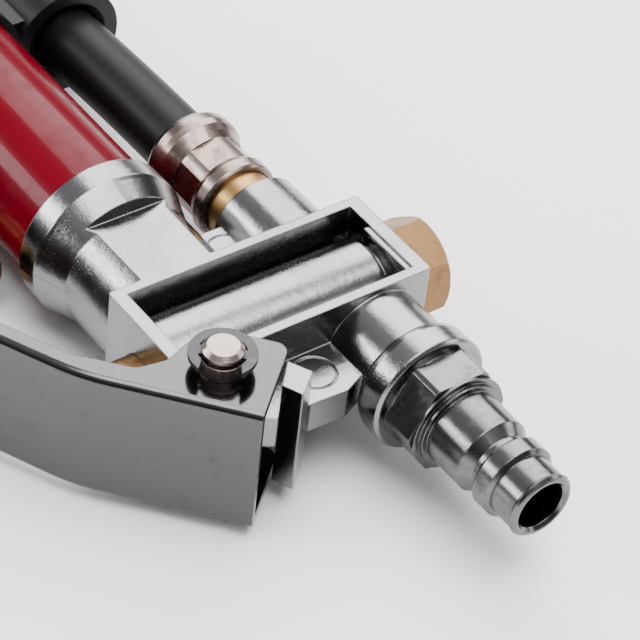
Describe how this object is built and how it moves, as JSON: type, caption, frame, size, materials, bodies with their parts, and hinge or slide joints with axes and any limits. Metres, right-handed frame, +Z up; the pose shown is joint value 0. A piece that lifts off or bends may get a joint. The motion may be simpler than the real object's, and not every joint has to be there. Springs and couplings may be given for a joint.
{
  "type": "tyre inflator gun",
  "caption": "Lever-operated tyre inflator gun with chrome head, quick-coupler air inlet, red in-line gauge tube, black hose in a clip and a brass tyre chuck.",
  "frame": {"origin": "on the bench surface under the middle of the tool's box, with the hose and its chuck left out", "axes": "+X along the gauge tube towards the air inlet, +Y from the lever side to the valve plug, +Z up off the bench"},
  "size_m": [0.3222, 0.1334, 0.0266],
  "materials": {
    "chromed_casting": "bright chrome, slightly grainy",
    "dark_nickel": "polished dark nickel plate",
    "bare_brass": "satin machined brass",
    "chromed_sheet": "bright chrome on pressed sheet",
    "pin_steel": "bright nickel plated steel",
    "black_oxide": "black oxide",
    "red_gloss": "glossy red coat",
    "crimp_nickel": "warm nickel plate",
    "hose_rubber": "satin black",
    "black_moulding": "moulded satin",
    "clear_sleeve": "clear moulded sleeve",
    "scale_white": "plain white",
    "seal_rubber": "matt",
    "spring_wire": "bright wire"
  },
  "bodies": {
    "tool": {"head_casting": "chromed_casting", "inlet_nipple": "dark_nickel", "valve_plug": "bare_brass", "plug_seal": "seal_rubber", "valve_spring": "spring_wire", "pivot_pin": "pin_steel", "pivot_clip": "black_oxide", "gauge_tube": "red_gloss", "gauge_window": "clear_sleeve", "gauge_spring": "spring_wire", "spring_stop": "bare_brass", "end_cap": "black_moulding", "hose_fitting": "bare_brass", "hose_ferrule": "crimp_nickel", "hose_clip": "black_moulding", "air_hose": "hose_rubber", "chuck_ferrule": "bare_brass", "chuck_body": "bare_brass", "chuck_seal": "seal_rubber", "chuck_core_pin": "bare_brass", "chuck_nut": "bare_brass"},
    "lever": {"trigger_lever": "chromed_sheet"},
    "stem": {"valve_stem": "bare_brass", "stem_seal": "seal_rubber", "valve_poppet": "bare_brass", "poppet_seal": "seal_rubber"},
    "gauge_slider": {"gauge_piston": "bare_brass", "piston_seal": "seal_rubber", "scale_drum": "scale_white"}
  },
  "joints": [
    {"name": "lever_pivot", "type": "hinge", "parent": "tool", "child": "lever", "pos_m": [0.06745, -0.00085, 0.0122], "axis": [0, 0, -1], "range_deg": [0, 9], "stiffness_Nm_per_rad": 8, "springref_deg": -2.86},
    {"name": "stem_slide", "type": "slide", "parent": "tool", "child": "stem", "axis": [0, 1, 0], "range_m": [0, 0.0035], "deforming": ["valve_spring"]},
    {"name": "gauge_slide", "type": "slide", "parent": "tool", "child": "gauge_slider", "axis": [-1, 0, 0], "range_m": [0, 0.015], "stiffness_N_per_m": 400, "springref_m": -0.001, "deforming": ["gauge_spring"]}
  ],
  "couplings": [
    {"joint": "stem_slide", "follows": "lever_pivot", "m_per_rad": 0.0222}
  ]
}
